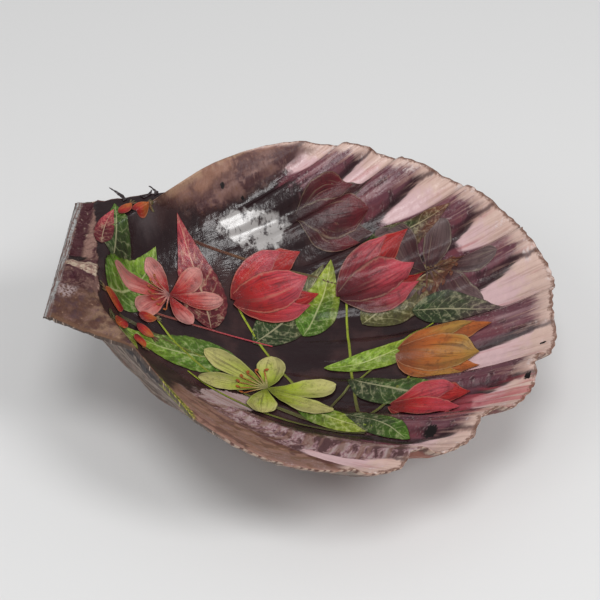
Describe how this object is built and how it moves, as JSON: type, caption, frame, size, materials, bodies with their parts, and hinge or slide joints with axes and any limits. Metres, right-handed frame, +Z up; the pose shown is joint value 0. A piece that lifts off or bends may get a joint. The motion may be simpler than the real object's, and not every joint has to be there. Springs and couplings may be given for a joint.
{
  "type": "lion's paw scallop shell",
  "caption": "Single valve of a large ribbed scallop lying hollow side up as a small dish, with a purple-brown lacquered inside printed with flowers.",
  "frame": {"origin": "centre of the shell's bounding box, on the surface that its worn knobs rest on", "axes": "+Z up; hinge line towards -X and lower margin towards +X; -Y is the front side, with the lower edge of the dish"},
  "size_m": [0.1194, 0.1174, 0.0393],
  "materials": {
    "shell": "lacquered purple-brown shell inside, bare matt shell outside"
  },
  "bodies": {
    "root": {"shell": "shell"}
  },
  "joints": []
}
